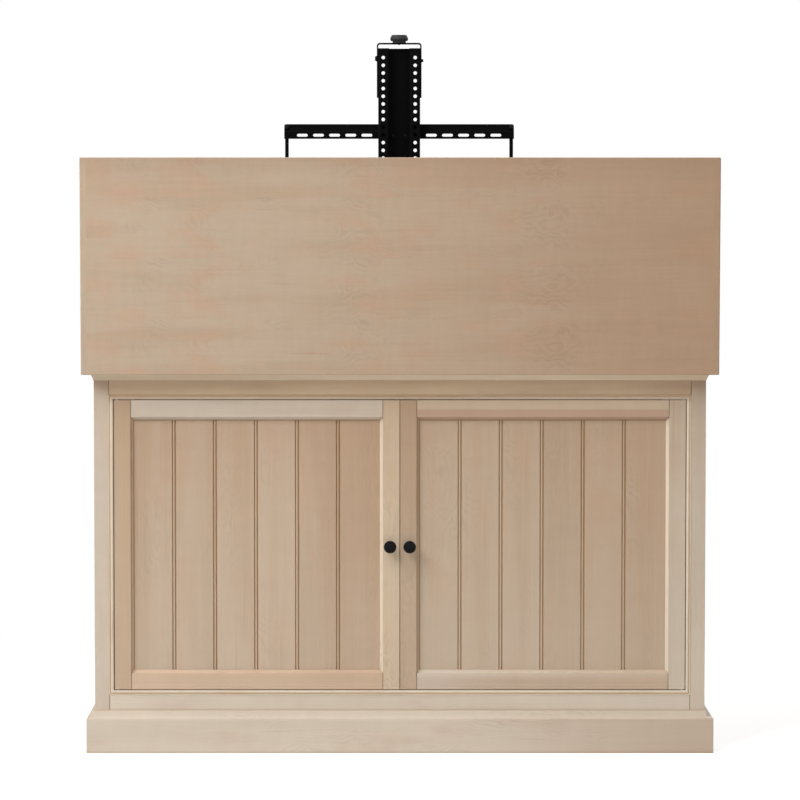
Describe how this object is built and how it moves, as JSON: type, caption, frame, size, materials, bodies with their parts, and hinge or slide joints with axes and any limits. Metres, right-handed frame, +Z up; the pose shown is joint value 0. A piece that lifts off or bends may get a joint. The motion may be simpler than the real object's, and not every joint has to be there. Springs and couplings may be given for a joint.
{
  "type": "tv lift cabinet",
  "caption": "Wooden cabinet with beadboard doors and a hinged lid that swings up as a telescoping lift raises a television mount out of the case.",
  "frame": {"origin": "on the floor, under the centre of the case", "axes": "+Z up, the doors look along -Y, the television faces +Y, +X to the right seen from the doors"},
  "size_m": [1.524, 0.5477, 1.7369],
  "materials": {
    "maple_solid": "sanded, unfinished",
    "maple_panel": "sanded, unfinished",
    "maple_inside": "sanded, unfinished",
    "black_steel": "satin powder coat",
    "black_knob": "satin",
    "hinge_steel": "brushed",
    "rod_steel": "ground",
    "bolt_steel": "blackened",
    "nylon": "moulded",
    "black_plastic": "fine texture",
    "rubber": "matte"
  },
  "bodies": {
    "case": {"side_panel_left": "maple_panel", "side_panel_right": "maple_panel", "bottom_panel": "maple_inside", "floor_runner": "maple_inside", "face_stile_left": "maple_solid", "face_stile_right": "maple_solid", "face_rail_top": "maple_solid", "face_rail_bottom": "maple_solid", "opening_bead": "maple_solid", "back_stiles": "maple_solid", "back_rails": "maple_solid", "back_panel": "maple_panel", "cable_grommet": "black_plastic", "plinth_front": "maple_solid", "plinth_back": "maple_solid", "plinth_returns": "maple_solid", "cove_moulding": "maple_solid", "top_stretcher": "maple_inside", "centre_divider": "maple_inside", "shelf_left": "maple_inside", "shelf_right": "maple_inside", "shelf_pins": "hinge_steel", "door_catches": "black_plastic", "door_hinge_frame_leaves": "hinge_steel", "lid_hinge_case_leaf": "hinge_steel", "lid_hinge_pin": "hinge_steel", "lid_rest_pads": "rubber", "lift_foot": "black_steel", "lift_base_column": "black_steel", "lift_base_glides": "nylon", "drive_housing": "black_plastic", "control_box": "black_plastic"},
    "door_left": {"door_left_hinge_stile": "maple_solid", "door_left_meeting_stile": "maple_solid", "door_left_rail_top": "maple_solid", "door_left_rail_bottom": "maple_solid", "door_left_panel_boards": "maple_panel", "door_left_knob": "black_knob", "door_left_hinge_leaves": "hinge_steel", "door_left_strike_plate": "hinge_steel"},
    "door_right": {"door_right_hinge_stile": "maple_solid", "door_right_meeting_stile": "maple_solid", "door_right_rail_top": "maple_solid", "door_right_rail_bottom": "maple_solid", "door_right_panel_boards": "maple_panel", "door_right_knob": "black_knob", "door_right_hinge_leaves": "hinge_steel", "door_right_strike_plate": "hinge_steel"},
    "lid": {"lid_panel": "maple_panel", "lid_hinge_lid_leaf": "hinge_steel"},
    "middle_stage": {"lift_middle_stage": "black_steel", "drive_rod": "rod_steel"},
    "carriage": {"lift_carriage": "black_steel", "lift_carriage_glides": "nylon", "tv_rail_upper": "black_steel", "tv_rail_lower": "black_steel", "tv_end_bars": "black_steel", "lift_bolts": "bolt_steel", "lid_pusher_strap": "black_steel", "lid_bumper": "rubber"}
  },
  "joints": [
    {"name": "lift_middle_slide", "type": "slide", "parent": "case", "child": "middle_stage", "axis": [0, 0, 1], "range_m": [-0.4825, 0]},
    {"name": "lift_carriage_slide", "type": "slide", "parent": "middle_stage", "child": "carriage", "axis": [0, 0, 1], "range_m": [-0.4825, 0]},
    {"name": "lid_hinge", "type": "hinge", "parent": "case", "child": "lid", "pos_m": [0, -0.2535, 0.9215], "axis": [1, 0, 0], "range_deg": [-92, 0]},
    {"name": "door_left_hinge", "type": "hinge", "parent": "case", "child": "door_left", "pos_m": [-0.68, -0.2245, 0.5], "axis": [0, 0, -1], "range_deg": [0, 110]},
    {"name": "door_right_hinge", "type": "hinge", "parent": "case", "child": "door_right", "pos_m": [0.68, -0.2245, 0.5], "axis": [0, 0, 1], "range_deg": [0, 110]}
  ],
  "couplings": [
    {"joint": "lift_carriage_slide", "follows": "lift_middle_slide", "ratio": 1},
    {"joint": "lid_hinge", "follows": "lift_middle_slide", "rad_per_m": 3.3278}
  ]
}
